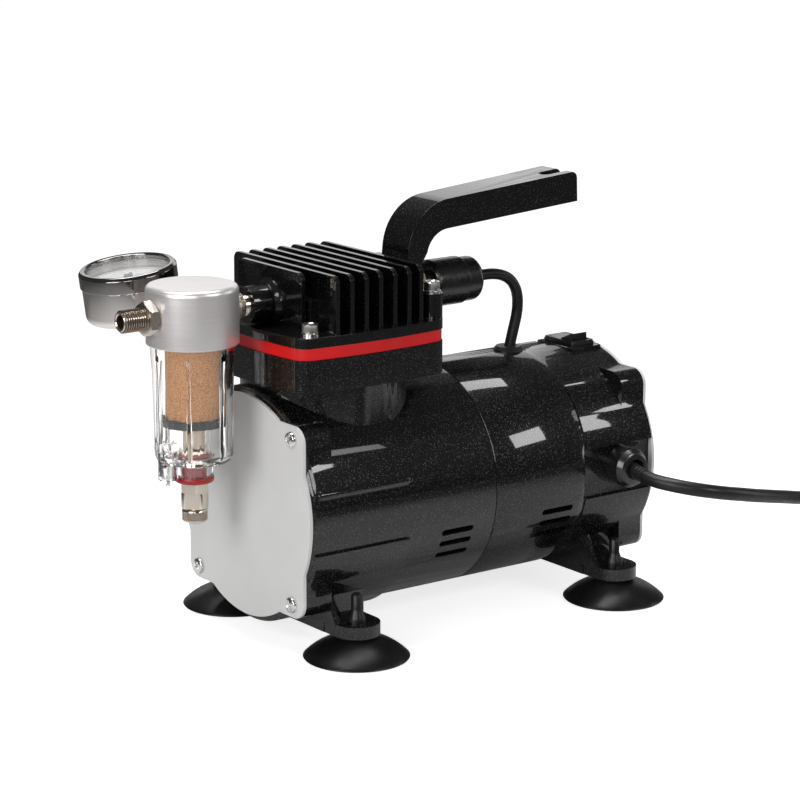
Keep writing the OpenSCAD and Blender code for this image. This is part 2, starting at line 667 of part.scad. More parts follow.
module cord_gland() color([0.03, 0.03, 0.03]) translate([gland_x, 0, gland_z]) rotate([90, 0, 0]) difference() {
    union() {
        translate([0, 0, 36]) cylinder(r = 6, h = 11);
        translate([0, 0, 46.4]) cylinder(r = 9, h = 7.4);
        translate([0, 0, 53.8]) cylinder(r1 = 9, r2 = 7.6, h = 2.4);
        translate([0, 0, 56.2]) cylinder(r1 = 7.6, r2 = 6.2, h = 0.6);
    }
    translate([0, 0, 30]) cylinder(r = 3.4, h = 30);
    translate([0, 0, 51]) cylinder(r1 = 3.5, r2 = 4.9, h = 7);
}

module strain_relief() color([0.04, 0.04, 0.04]) translate([gland_x, 0, gland_z]) rotate([90, 0, 0]) {
    translate([0, 0, 40]) cylinder(r = 3.3, h = 11, $fn = 48);
    translate([0, 0, 50.6]) rotate([relief_tilt, 0, 0]) {
        cylinder(r1 = 3.3, r2 = 3.45, h = 3, $fn = 48);
        translate([0, 0, 3]) cylinder(r1 = 3.45, r2 = cord_r + 0.05, h = 10.6, $fn = 48);
    }
}

module power_cord() color([0.03, 0.03, 0.03]) {
    tube(cord_route, cord_r, 12, [0, 0, 1]);
    tube(tail_route, cord_r, 12, [0, 0, 1]);
}

// Outer shape of the coiled length
module power_cord_coil() color([0.03, 0.03, 0.03]) translate([coil_x, coil_y, 0]) rotate_extrude($fn = 96)
    translate([coil_mid_r - 9.6, 0]) {
        translate([2, 0]) square([15.2, 13]);
        translate([0, 2]) square([19.2, 9]);
        for (x = [2, 17.2], y = [2, 11]) translate([x, y]) circle(2, $fn = 24);
    }

module cord_tie() color([0.03, 0.03, 0.03]) translate([coil_x, coil_y, 0]) rotate(tie_angle)
    translate([coil_mid_r, 4, 6.6]) rotate([90, 0, 0]) linear_extrude(8) difference() {
        round_rect(21.4, 13.2, 2.6);
        round_rect(19.4, 12.8, 2);
    }

module plug_body() color([0.03, 0.03, 0.03]) translate([284, -72, 12]) {
    rotate([0, -90, 0]) cylinder(r1 = 4.4, r2 = 6.5, h = 14, $fn = 48);
    translate([-14, 0, 0]) rotate([90, 0, -90]) linear_extrude(26) round_rect(26, 24, 6);
}

module plug_pins() color([0.8, 0.75, 0.55]) translate([244, -72, 12]) {
    for (s = [-1, 1]) translate([-16, s * 6.35 - 0.75, 1]) cube([16, 1.5, 6.3]);
    translate([-19, 0, -7]) rotate([0, 90, 0]) cylinder(r = 2.4, h = 19, $fn = 32);
}

// ---- filter ----

module inlet_fitting() color([0.8, 0.77, 0.7]) translate([0, 0, port_z]) rotate([0, 90, 0]) difference() {
    union() {
        translate([0, 0, filter_x + 14]) cylinder(r = 4.6, h = 22);
        translate([0, 0, filter_x + cap_r + 0.3]) rotate(30) cylinder(r = 6.2, h = 3.8, $fn = 6);
    }
    translate([0, 0, -90]) cylinder(r = 2.5, h = 40, $fn = 32);
}

module filter_cap() color([0.8, 0.8, 0.8]) translate([filter_x, 0, 0]) difference() {
    rotate_extrude() polygon(concat(
        [[0, cap_z], [cap_r - 0.3, cap_z], [cap_r, cap_z + 0.3]],
        arc(cap_r - 3.2, cap_top - 3.2, 3.2, 0, 90, 8), [[0, cap_top]]));
    translate([0, 0, cap_z - 1]) cylinder(r = 16.6, h = 8);
    translate([0, 0, cap_z + 6.9]) cylinder(r = 6, h = 14);
    translate([0, 0, nipple_z]) rotate([0, -90, 0]) cylinder(r = nipple_r, h = 30);
    translate([0, 0, port_z]) rotate([0, 90, 0]) cylinder(r = 4.62, h = 30);
    translate([0, 0, gauge_z]) rotate([-90, 0, 0]) cylinder(r = 4.62, h = 30);
}

// Clear bowl with inner ribs, a neck for the drain valve and a side barrel for the push drain
module filter_bowl() color([0.9, 0.92, 0.93, 0.3]) translate([filter_x, 0, 0]) difference() {
    union() {
        rotate_extrude() polygon([
            [16.55, cap_z + 5.6], [16.55, cap_z - 0.3], [18.1, cap_z - 0.3],
            [17.3, cap_z - 12], [16.7, bowl_z + 3], [15.8, bowl_z + 0.8], [14.6, bowl_z], [8.6, bowl_z], [8.2, bowl_z - 0.8], [8, neck_z], [5.4, neck_z],
            [5.4, bowl_z + 2], [13.8, bowl_z + 2], [14.9, bowl_z + 4], [15.2, cap_z + 5.6]]);
        for (k = [0:5]) rotate(k * 60 + 50) translate([13.6, -0.6, bowl_z + 3])
            cube([2, 1.2, cap_z - bowl_z - 9]);
        rotate(side_angle) translate([side_off, 0, side_z]) cylinder(r = side_r, h = 16, $fn = 48);
    }
    // bore of the push drain, closed at the top but for a vent
    rotate(side_angle) translate([side_off, 0, side_z - 1]) cylinder(r = 2.7, h = 13, $fn = 48);
    rotate(side_angle) translate([side_off, 0, side_z + 11]) cylinder(r = 1.2, h = 6, $fn = 32);
    rotate_extrude() polygon([[0, neck_z - 1], [5.4, neck_z - 1], [5.4, bowl_z + 3], [0, bowl_z + 3]]);
}

module filter_element() color([0.72, 0.5, 0.28]) translate([filter_x, 0, element_z]) difference() {
    cylinder(r = 11.8, h = cap_z + 6.8 - element_z);
    translate([0, 0, -1]) cylinder(r = 8, h = 50);
}

// Disc and stem that hold the element up against the cap
module baffle_disc() color([0.08, 0.08, 0.08]) translate([filter_x, 0, 0]) difference() {
    union() {
        translate([0, 0, element_z - 3.5]) cylinder(r = 13.5, h = 3.5);
        translate([0, 0, element_z - 3.5]) cylinder(r = 5, h = 43);
        translate([0, 0, 90]) cylinder(r = 4.6, h = 11, $fn = 48);
    }
    translate([0, 0, element_z + 3]) cylinder(r = 2, h = 40, $fn = 32);
}

module bowl_seals() color([0.75, 0.08, 0.08]) translate([filter_x, 0, 0]) {
    translate([0, 0, seal_z]) difference() {
        cylinder(r = 8.4, h = neck_z - seal_z);
        translate([0, 0, -1]) cylinder(r = 5.3, h = 6);
        rotate(side_angle) translate([side_off, 0, side_z - seal_z - 0.1]) cylinder(r = side_r + 0.1, h = 4, $fn = 48);
    }
    translate([0, 0, bowl_z + 2]) difference() {
        cylinder(r = 7.6, h = 1.6);
        translate([0, 0, -1]) cylinder(r = 5.3, h = 4);
    }
}

// Valve body with two spanner flats under a hexagonal collar
module drain_body() color([0.8, 0.78, 0.74]) translate([filter_x, 0, 0]) difference() {
    union() {
        intersection() {
            translate([0, 0, drain_z]) cylinder(r = 5.8, h = 8);
            rotate(-45) translate([-10, -4.3, drain_z]) cube([20, 8.6, 8]);
        }
        translate([0, 0, 70.4]) cylinder(r = 6.5, h = seal_z - 70.4, $fn = 6);
        translate([0, 0, 70.4]) cylinder(r = 5.2, h = 18);
        translate([0, 0, bowl_z + 3.6]) cylinder(r = 7, h = 1.6);
    }
    translate([0, 0, drain_z - 1]) cylinder(r = 2.6, h = 22);
    translate([0, 0, drain_z - 1]) cylinder(r = 1.2, h = 40, $fn = 32);
}

module drain_knob() color([0.75, 0.73, 0.68]) translate([filter_x, 0, 0]) {
    translate([0, 0, knob_z]) cylinder(r1 = 4.7, r2 = 5.5, h = 0.9);
    translate([0, 0, knob_z + 0.9]) cylinder(r = 5.5, h = 4.3);
    translate([0, 0, knob_z + 5.2]) cylinder(r1 = 5.5, r2 = 5.1, h = 0.4);
    translate([0, 0, knob_z + 5.5]) cylinder(r = 2.55, h = 15);
}

module push_drain_pin() color([0.75, 0.75, 0.76]) translate([filter_x, 0, 0]) rotate(side_angle)
    translate([side_off, 0, side_z]) {
        translate([0, 0, 0.6]) cylinder(r = 2.6, h = 5.6, $fn = 32);
        translate([0, 0, -2.2]) cylinder(r = 0.7, h = 8, $fn = 32);
        translate([0, 0, -2.9]) cylinder(r1 = 1.1, r2 = 0.7, h = 0.9, $fn = 32);
    }

module outlet_nipple() color([0.8, 0.77, 0.7]) translate([0, 0, nipple_z]) rotate([0, 90, 0]) difference() {
    union() {
        translate([0, 0, nipple_tip_x + 0.7]) cylinder(r = nipple_r, h = 20);
        translate([0, 0, nipple_tip_x]) cylinder(r1 = nipple_r - 0.6, r2 = nipple_r, h = 0.7);
        translate([0, 0, -116.4]) rotate(30) cylinder(r = 7.5, h = 4.5, $fn = 6);
    }
    translate([0, 0, -128]) cylinder(r = 3, h = 24, $fn = 48);
}

// ---- gauge ----

module gauge_frame() {
    translate([filter_x, gauge_y, gauge_z]) rotate([0, -gauge_tilt, 0]) children();
}

module gauge_case() color([0.8, 0.8, 0.82]) {
    gauge_frame() difference() {
        rotate_extrude() polygon(concat([[0, -8.8]], arc(16.6, -4.8, 4, -90, 0, 8), [[20.6, 7.2], [0, 7.2]]));
        translate([0, 0, -6.6]) cylinder(r = 17.6, h = 20);
    }
    translate([filter_x, cap_r + 8.8, gauge_z]) rotate([90, 0, 0]) {
        cylinder(r = 6.5, h = 8.6, $fn = 6);
        translate([0, 0, 8]) cylinder(r = 4.6, h = 7);
    }
}

module gauge_bezel() color([0.85, 0.85, 0.87]) gauge_frame() difference() {
    union() {
        translate([0, 0, 7.2]) cylinder(r = gauge_r, h = 5.8);
        translate([0, 0, 13]) cylinder(r1 = gauge_r, r2 = gauge_r - 1.4, h = 1.5);
    }
    translate([0, 0, 6]) cylinder(r = 19.5, h = 6.6);
    translate([0, 0, 12]) cylinder(r = 18.4, h = 4);
}

module gauge_lens() color([0.9, 0.95, 1, 0.2]) gauge_frame() translate([0, 0, 11.4]) cylinder(r = 19.4, h = 1.15);

module gauge_dial() color([0.95, 0.95, 0.95]) gauge_frame() difference() {
    translate([0, 0, 7.2]) cylinder(r = 19.4, h = 0.8);
    translate([0, 0, 7]) cylinder(r = 0.9, h = 3, $fn = 32);
}

module gauge_needle() color([0.05, 0.05, 0.05]) gauge_frame() {
    cylinder(r = 0.85, h = 9.6, $fn = 32);
    translate([0, 0, 9.2]) cylinder(r = 2, h = 1, $fn = 32);
    rotate(225) translate([-5, -0.5, 9.4]) cube([19, 1, 0.5]);
}

// ---- assembly ----

front_housing();
rear_housing();
front_cover();
rear_cover();
cover_screws();
housing_bolts();
suction_cup_front_left();
suction_cup_front_right();
suction_cup_rear_left();
suction_cup_rear_right();
cylinder_sleeve();
red_ring();
valve_plate();
reed_valves();
cylinder_head();
head_screws();
connecting_rod();
piston();
piston_seal();
rod_bearing();
crank_eccentric();
crank_screw();
motor_shaft();
front_bearing();
rear_bearing();
rotor_core();
stator_core();
stator_windings();
cooling_fan();
carry_handle();
handle_screw();
pressure_switch();
switch_boot();
switch_adaptor();
switch_cable();
cable_grommet();
power_switch_body();
power_switch_rocker();
cord_gland();
strain_relief();
power_cord();
power_cord_coil();
plug_body();
plug_pins();
inlet_fitting();
filter_cap();
filter_bowl();
filter_element();
baffle_disc();
bowl_seals();
drain_body();
drain_knob();
push_drain_pin();
outlet_nipple();
gauge_case();
gauge_bezel();
gauge_lens();
gauge_dial();
gauge_needle();
cord_tie();
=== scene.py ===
"""Looks of the airbrush compressor: detailed pieces, materials, mains cord, light and camera."""
import json
import math

import bmesh
import bpy
from mathutils import Matrix, Vector, noise


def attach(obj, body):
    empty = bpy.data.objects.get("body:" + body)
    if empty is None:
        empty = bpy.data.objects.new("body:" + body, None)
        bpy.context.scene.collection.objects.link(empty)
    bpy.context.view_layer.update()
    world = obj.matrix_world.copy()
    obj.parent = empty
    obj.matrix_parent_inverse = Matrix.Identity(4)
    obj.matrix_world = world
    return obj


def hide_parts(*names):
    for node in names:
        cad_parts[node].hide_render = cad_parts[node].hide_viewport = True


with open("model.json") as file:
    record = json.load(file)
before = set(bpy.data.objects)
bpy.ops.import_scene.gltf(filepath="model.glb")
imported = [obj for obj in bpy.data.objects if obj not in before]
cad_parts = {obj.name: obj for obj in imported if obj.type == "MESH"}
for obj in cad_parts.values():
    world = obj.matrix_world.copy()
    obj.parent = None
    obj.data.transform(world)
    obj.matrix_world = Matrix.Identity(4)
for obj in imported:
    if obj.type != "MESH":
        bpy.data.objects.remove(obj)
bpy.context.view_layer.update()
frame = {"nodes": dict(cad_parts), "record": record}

NODES = frame["nodes"]
BODY_OF = {n: b for b, group in frame["record"]["behaviour"]["bodies"].items() for n in group}
MM = 0.001
SCENE = bpy.context.scene
SCENE.view_settings.view_transform = "Standard"

# Stations of the design in millimetres, and the gauge's tilt
MOTOR_Z = 60.6
FILTER_X = -92.0
NIPPLE_Z = 148.0
SWITCH_Z = 146.2
GAUGE = (FILTER_X, 48.4, 146.5)
GAUGE_TILT = math.radians(8)
COIL = (333.0, -16.0)
CORD_R = 3.15
G18_PITCH = 0.907
PAN_R, PAN_TOP, PAN_DROP = 3.6, 2.4, 0.95
SOCKET_MOUTH_R = 2.05
ELEMENT_LOW, ELEMENT_HIGH, ELEMENT_TALL = 103.7, 141.8, 38.1
KNURL_LOW, KNURL_HIGH = 58.6, 62.4

# Limits for cleaning and rounding the CAD surfaces
WELD_M = 2e-6
FLAT_DEG = 0.6
BEVEL_DEG = {"rear_housing": 48}
BEVEL_DEG_ELSEWHERE = 32


def mm(x, y, z):
    return Vector((x, y, z)) * MM


# ---- camera ----

def make_camera():
    data = bpy.data.cameras.new("camera")
    data.lens, data.sensor_width = 128.43, 36
    data.clip_start, data.clip_end = 0.05, 30
    cam = bpy.data.objects.new("camera", data)
    SCENE.collection.objects.link(cam)
    eye, target, roll = mm(-722.9, -988.6, 388.6), mm(16.7, 0, 95.2), 0.004
    look = (target - eye).normalized()
    right = look.cross(Vector((0, 0, 1))).normalized()
    right = right * math.cos(roll) + right.cross(look) * math.sin(roll)
    cam.matrix_world = Matrix((right, right.cross(look), -look)).transposed().to_4x4()
    cam.location = eye
    SCENE.camera = cam


make_camera()


# ---- material helpers ----

class Paint:
    """A node material with short calls for textures, ramps and bumps in object space."""

    def __init__(self, name, color, metallic=0.0, roughness=0.4, **extra):
        self.m = bpy.data.materials.new(name)
        self.m.use_nodes = True
        self.t = self.m.node_tree
        self.s = self.t.nodes["Principled BSDF"]
        self.s.inputs["Base Color"].default_value = (*color, 1)
        self.s.inputs["Metallic"].default_value = metallic
        self.s.inputs["Roughness"].default_value = roughness
        for key, value in extra.items():
            self.s.inputs[key.replace("_", " ")].default_value = value
        self.where = self.t.nodes.new("ShaderNodeTexCoord").outputs["Object"]

    def node(self, kind, **props):
        n = self.t.nodes.new("ShaderNode" + kind)
        for key, value in props.items():
            setattr(n, key, value)
        return n

    def link(self, a, b):
        self.t.links.new(a, b)

    def stretched(self, x, y, z):
        n = self.node("Mapping")
        n.inputs["Scale"].default_value = (x, y, z)
        self.link(self.where, n.inputs["Vector"])
        return n.outputs["Vector"]

    def noise(self, size_mm, detail=2.0, vector=None):
        n = self.node("TexNoise")
        n.inputs["Scale"].default_value = 1 / (size_mm * MM)
        n.inputs["Detail"].default_value = detail
        self.link(vector or self.where, n.inputs["Vector"])
        return n.outputs["Fac"]

    def cells(self, size_mm):
        n = self.node("TexVoronoi")
        n.inputs["Scale"].default_value = 1 / (size_mm * MM)
        self.link(self.where, n.inputs["Vector"])
        return n

    def ramp(self, value, low, high, a=0.0, b=1.0):
        n = self.node("MapRange")
        for key, v in (("From Min", low), ("From Max", high), ("To Min", a), ("To Max", b)):
            n.inputs[key].default_value = v
        self.link(value, n.inputs["Value"])
        return n.outputs["Result"]

    def times(self, a, b):
        n = self.node("Math", operation="MULTIPLY")
        for i, v in enumerate((a, b)):
            if isinstance(v, float):
                n.inputs[i].default_value = v
            else:
                self.link(v, n.inputs[i])
        return n.outputs["Value"]

    def mix(self, fac, a, b):
        n = self.node("Mix", data_type="RGBA")
        self.link(fac, n.inputs["Factor"])
        n.inputs["A"].default_value = (*a, 1)
        n.inputs["B"].default_value = (*b, 1)
        self.link(n.outputs["Result"], self.s.inputs["Base Color"])

    def rough(self, value):
        self.link(value, self.s.inputs["Roughness"])

    def bump(self, height, depth_mm, strength=1.0, socket="Normal", below=None):
        n = self.node("Bump")
        n.inputs["Strength"].default_value = strength
        n.inputs["Distance"].default_value = depth_mm * MM
        self.link(height, n.inputs["Height"])
        if below is not None:
            self.link(below, n.inputs["Normal"])
        self.link(n.outputs["Normal"], self.s.inputs[socket])
        return n.outputs["Normal"]


def flake_paint(name, base, flake, cell_mm, share, coat_rough, peel):
    """Gloss enamel with metal flakes set in it at chance angles."""
    p = Paint(name, base, roughness=0.4, Specular_IOR_Level=0.08,
              Coat_Weight=1.0, Coat_Roughness=coat_rough, Coat_IOR=1.5)
    v = p.cells(cell_mm)
    parts = p.node("SeparateColor")
    p.link(v.outputs["Color"], parts.inputs["Color"])
    chosen = p.ramp(parts.outputs["Red"], 1 - share, 1 - share * 0.4)
    inside = p.ramp(v.outputs["Distance"], 0.5, 0.3)
    mask = p.times(chosen, inside)
    p.mix(mask, base, flake)
    p.link(p.times(mask, 0.9), p.s.inputs["Metallic"])
    facets = p.bump(p.times(parts.outputs["Green"], mask), 0.05, 0.5)
    grain = p.noise(0.45, 3)
    p.bump(grain, 0.012, 0.35, below=facets)
    p.bump(p.noise(2.6, 2), peel, 0.5, socket="Coat Normal")
    return p.m


def plain_gloss(name, base, roughness, coat, coat_rough, peel_mm=0.01, size=2.4):
    """Smooth paint or moulded plastic with a slightly uneven gloss and a faint peel."""
    p = Paint(name, base, roughness=roughness, Coat_Weight=coat, Coat_Roughness=coat_rough)
    soft = p.noise(size * 3, 3)
    p.rough(p.ramp(soft, 0.3, 0.7, roughness - 0.06, roughness + 0.06))
    lighter = tuple(c * 1.25 + 0.001 for c in base)
    p.mix(p.ramp(p.noise(size * 7, 2), 0.35, 0.65), base, lighter)
    p.bump(p.noise(size, 2), peel_mm, 0.5)
    return p.m


def metal(name, color, roughness, grain=(1, 1, 1), grain_mm=0.5, depth=0.004, shade=0.85, spread=0.08, metallic=1.0):
    """Metal with a brushed or turned grain: the grain vector stretches the noise."""
    p = Paint(name, color, metallic=metallic, roughness=roughness)
    lines = p.noise(grain_mm, 4, p.stretched(*grain))
    p.rough(p.ramp(lines, 0.3, 0.7, max(roughness - spread, 0.03), roughness + spread))
    p.mix(p.ramp(lines, 0.25, 0.75), tuple(c * shade for c in color), color)
    p.bump(lines, depth, 0.6)
    return p.m


def rubber(name, base, roughness, grain_mm=0.35, depth=0.02):
    p = Paint(name, base, roughness=roughness, Specular_IOR_Level=0.32)
    fine = p.noise(grain_mm, 3)
    p.rough(p.ramp(p.noise(9, 3), 0.3, 0.7, roughness - 0.07, roughness + 0.09))
    p.mix(p.ramp(p.noise(14, 4), 0.4, 0.75), base, tuple(c * 1.7 + 0.002 for c in base))
    p.bump(fine, depth, 0.35)
    return p.m


def clear_plastic():
    p = Paint("clear_bowl", (0.985, 0.975, 0.97), roughness=0.04, Transmission_Weight=1.0, IOR=1.49)
    haze = p.noise(5, 3, p.stretched(1, 1, 0.25))
    p.rough(p.ramp(haze, 0.35, 0.7, 0.01, 0.06))
    p.bump(p.noise(6, 2, p.stretched(1, 1, 0.2)), 0.008, 0.1)
    return p.m


def beads():
    p = Paint("element_bronze", (0.80, 0.48, 0.22), roughness=0.62)
    v = p.cells(0.5)
    # Colour darkens towards each cell's edge: painted shade in the gaps between the sintered beads.
    p.mix(p.ramp(v.outputs["Distance"], 0.2, 0.75), (0.84, 0.45, 0.18), (0.42, 0.17, 0.06))
    p.bump(p.ramp(v.outputs["Distance"], 0.0, 0.8, 1, 0), 0.25, 0.9)
    return p.m


def glass():
    p = Paint("gauge_glass", (0.7, 0.7, 0.7), roughness=0.03, Alpha=0.16)
    p.rough(p.ramp(p.noise(12, 3), 0.4, 0.8, 0.02, 0.06))
    return p.m


def dial_paint():
    p = Paint("dial_white", (0.58, 0.58, 0.57), roughness=0.45)
    p.mix(p.ramp(p.noise(4, 4), 0.3, 0.7), (0.57, 0.57, 0.56), (0.60, 0.60, 0.59))
    p.bump(p.noise(0.3, 2), 0.01, 0.2)
    return p.m


def cover_paint():
    p = Paint("cover_grey", (0.60, 0.60, 0.59), roughness=0.42)
    fine = p.noise(0.5, 3)
    p.mix(p.ramp(p.noise(22, 4), 0.3, 0.7), (0.585, 0.585, 0.575), (0.615, 0.615, 0.605))
    p.rough(p.ramp(fine, 0.3, 0.7, 0.38, 0.48))
    p.bump(fine, 0.006, 0.4)
    return p.m


MAT = {
    "flake_black_paint": flake_paint(
        "flake_black_paint", (0.0022, 0.0022, 0.0023), (0.17, 0.17, 0.175), 0.34, 0.15, 0.05, 0.010),
    "gloss_black_paint": flake_paint(
        "gloss_black_paint", (0.0012, 0.0012, 0.0012), (0.07, 0.07, 0.072), 0.34, 0.06, 0.04, 0.008),
    "handle_paint": flake_paint(
        "handle_paint", (0.0015, 0.0015, 0.0015), (0.15, 0.15, 0.155), 0.34, 0.12, 0.07, 0.010),
    "cover_grey": cover_paint(),
    "zinc_steel": metal("zinc_steel", (0.82, 0.82, 0.82), 0.2, grain_mm=0.8),
    "nickel_screw": metal("nickel_screw", (0.78, 0.76, 0.72), 0.2, grain_mm=0.8),
    "cup_rubber": rubber("cup_rubber", (0.0035, 0.0035, 0.0035), 0.34),
    "grommet_rubber": rubber("grommet_rubber", (0.010, 0.010, 0.010), 0.36),
    "sleeve_aluminium": metal("sleeve_aluminium", (0.72, 0.72, 0.73), 0.3),
    "red_paint": plain_gloss("red_paint", (0.50, 0.002, 0.004), 0.38, 0.15, 0.06),
    "ground_steel": metal("ground_steel", (0.62, 0.62, 0.63), 0.3),
    "cast_aluminium": metal("cast_aluminium", (0.66, 0.66, 0.67), 0.45, grain_mm=0.9, depth=0.03),
    "seal_plastic": plain_gloss("seal_plastic", (0.09, 0.06, 0.04), 0.45, 0.1, 0.3),
    "bearing_steel": metal("bearing_steel", (0.75, 0.75, 0.76), 0.2),
    "crank_iron": metal("crank_iron", (0.36, 0.36, 0.37), 0.5, grain_mm=0.8, depth=0.03),
    "lamination_steel": metal(
        "lamination_steel", (0.42, 0.42, 0.43), 0.45, grain=(9, 0.2, 0.2), grain_mm=2.0, depth=0.08),
    "winding_copper": metal("winding_copper", (0.72, 0.28, 0.12), 0.35, grain=(4, 1, 1), grain_mm=0.9, depth=0.2),
    "fan_plastic": plain_gloss("fan_plastic", (0.05, 0.05, 0.055), 0.5, 0.0, 0.3),
    "switch_plastic": plain_gloss("switch_plastic", (0.004, 0.004, 0.004), 0.28, 0.4, 0.10, 0.008, 0.8),
    "adaptor_brass": metal("adaptor_brass", (0.72, 0.60, 0.38), 0.25),
    "cable_rubber": rubber("cable_rubber", (0.007, 0.007, 0.007), 0.38),
    "tie_plastic": rubber("tie_plastic", (0.010, 0.010, 0.010), 0.6, 0.5, 0.08),
    "plug_plastic": plain_gloss("plug_plastic", (0.012, 0.012, 0.012), 0.4, 0.1, 0.3, 0.02, 0.7),
    "plug_brass": metal("plug_brass", (0.80, 0.68, 0.42), 0.22),
    "nickel_plate": metal("nickel_plate", (0.80, 0.73, 0.64), 0.17, grain_mm=0.8),
    "cap_aluminium": metal(
        "cap_aluminium", (0.87, 0.83, 0.83), 0.34, grain=(0.05, 0.05, 5),
        grain_mm=1.0, depth=0.003, shade=0.86, spread=0.05, metallic=0.72),
    "clear_bowl": clear_plastic(),
    "element_bronze": beads(),
    "stem_plastic": plain_gloss("stem_plastic", (0.50, 0.42, 0.33), 0.4, 0.2, 0.2),
    "baffle_plastic": plain_gloss("baffle_plastic", (0.004, 0.004, 0.005), 0.5, 0.0, 0.2),
    "seal_red": plain_gloss("seal_red", (0.27, 0.006, 0.006), 0.3, 0.3, 0.1),
    # A darker copy of the gauge chrome, with the bezel's dark reflections painted into its colour.
    "bezel_chrome_painted_shade": metal("bezel_chrome_painted_shade", (0.33, 0.32, 0.31), 0.09, grain_mm=3, depth=0.002, spread=0.03, shade=0.9),
    # Darker nickel, painted into thread roots and knurl hollows as shade.
    "hollow_shade_nickel": metal("hollow_shade_nickel", (0.20, 0.15, 0.11), 0.45, grain_mm=0.8),
    "gauge_chrome": metal(
        "gauge_chrome", (0.84, 0.80, 0.775), 0.07, grain_mm=3, depth=0.002, spread=0.03, shade=0.97),
    "gauge_glass": glass(),
    "dial_white": dial_paint(),
    "needle_black": plain_gloss("needle_black", (0.01, 0.01, 0.01), 0.4, 0.0, 0.3),
}

SLOT_NODES = {
    "flake_black_paint": ["front_housing", "rear_housing"],
    "gloss_black_paint": ["cylinder_head"],
    "handle_paint": ["carry_handle"],
    "cover_grey": ["front_cover", "rear_cover"],
    "zinc_steel": ["cover_screws", "housing_bolts", "handle_screw", "crank_screw"],
    "nickel_screw": ["head_screws"],
    "cup_rubber": [
        "suction_cup_front_left", "suction_cup_front_right", "suction_cup_rear_left", "suction_cup_rear_right"],
    "grommet_rubber": ["cable_grommet", "strain_relief"],
    "sleeve_aluminium": ["cylinder_sleeve"],
    "red_paint": ["red_ring"],
    "ground_steel": ["valve_plate", "reed_valves", "motor_shaft", "push_drain_pin"],
    "cast_aluminium": ["connecting_rod", "piston"],
    "seal_plastic": ["piston_seal"],
    "bearing_steel": ["rod_bearing", "front_bearing", "rear_bearing"],
    "crank_iron": ["crank_eccentric"],
    "lamination_steel": ["rotor_core", "stator_core"],
    "winding_copper": ["stator_windings"],
    "fan_plastic": ["cooling_fan"],
    "switch_plastic": ["pressure_switch", "switch_boot", "power_switch_body", "power_switch_rocker", "cord_gland"],
    "adaptor_brass": ["switch_adaptor"],
    "cable_rubber": ["switch_cable", "power_cord", "power_cord_coil"],
    "tie_plastic": ["cord_tie"],
    "plug_plastic": ["plug_body"],
    "plug_brass": ["plug_pins"],
    "nickel_plate": ["inlet_fitting", "outlet_nipple", "drain_body", "drain_knob"],
    "cap_aluminium": ["filter_cap"],
    "clear_bowl": ["filter_bowl"],
    "element_bronze": ["filter_element"],
    "baffle_plastic": ["baffle_disc"],
    "seal_red": ["bowl_seals"],
    "gauge_chrome": ["gauge_case", "gauge_bezel"],
    "gauge_glass": ["gauge_lens"],
    "dial_white": ["gauge_dial"],
    "needle_black": ["gauge_needle"],
}
SLOT_OF = {n: slot for slot, nodes in SLOT_NODES.items() for n in nodes}


# ---- mesh helpers ----

def finish_piece(obj, nodes, slot=None, body=None, mat=None):
    """Gives a piece the material of its slot and its body, and hides the CAD nodes that it stands for."""
    slot = slot or SLOT_OF[nodes[0]]
    obj.data.materials.clear()
    obj.data.materials.append(mat or MAT[slot])
    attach(obj, body or BODY_OF[nodes[0]])
    if nodes:
        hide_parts(*nodes)
    return obj


def add_mesh(name, bm, smooth=35):
    mesh = bpy.data.meshes.new(name)
    bmesh.ops.recalc_face_normals(bm, faces=bm.faces)
    bm.to_mesh(mesh)
    bm.free()
    mesh.polygons.foreach_set("use_smooth", [True] * len(mesh.polygons))
    mesh.set_sharp_from_angle(angle=math.radians(smooth))
    obj = bpy.data.objects.new(name, mesh)
    SCENE.collection.objects.link(obj)
    return obj


def bevel(obj, width_mm, segments, angle):
    mod = obj.modifiers.new("bevel", "BEVEL")
    mod.width = width_mm * MM
    mod.segments = segments
    mod.limit_method = "ANGLE"
    mod.angle_limit = math.radians(angle)
    mod.harden_normals = True
    mod.use_clamp_overlap = True
    mod.miter_outer = "MITER_ARC"


def refined(node, width_mm, segments, angle):
    """A copy of a CAD node's surface with clean faces and rounded edges."""
    bm = bmesh.new()
    bm.from_mesh(NODES[node].data)
    bmesh.ops.remove_doubles(bm, verts=bm.verts, dist=WELD_M)
    bmesh.ops.dissolve_limit(bm, angle_limit=math.radians(FLAT_DEG), verts=bm.verts, edges=bm.edges)
    obj = add_mesh(node + "_surface", bm, angle)
    if width_mm:
        bevel(obj, width_mm, segments, angle)
    return finish_piece(obj, [node])


def spin(bm, profile, segments=96, place=None, closed=False, wobble=None):
    """Spins (radius, height) points in mm about +Z. wobble(angle, height) adds to the radius."""
    rings = []
    for r, z in profile:
        if r < 1e-6:
            rings.append([bm.verts.new(mm(0, 0, z))])
            continue
        ring = []
        for k in range(segments):
            a = math.tau * k / segments
            rr = r + (wobble(a, z) if wobble else 0)
            ring.append(bm.verts.new(mm(rr * math.cos(a), rr * math.sin(a), z)))
        rings.append(ring)
    pairs = list(zip(rings, rings[1:]))
    if closed:
        pairs.append((rings[-1], rings[0]))
    for lo, hi in pairs:
        for k in range(segments):
            j = (k + 1) % segments
            corners = [lo[k % len(lo)], lo[j % len(lo)], hi[j % len(hi)], hi[k % len(hi)]]
            unique = list(dict.fromkeys(corners))
            if len(unique) > 2:
                bm.faces.new(unique)
    if place is not None:
        verts = [v for ring in rings for v in ring]
        bmesh.ops.transform(bm, matrix=place, verts=verts)


def circle(bm, radius, z, count, x=0):
    """A ring of new vertices, all in mm, round a vertical line through x."""
    turns = (math.tau * k / count for k in range(count))
    return [bm.verts.new(mm(x + radius * math.cos(a), radius * math.sin(a), z)) for a in turns]


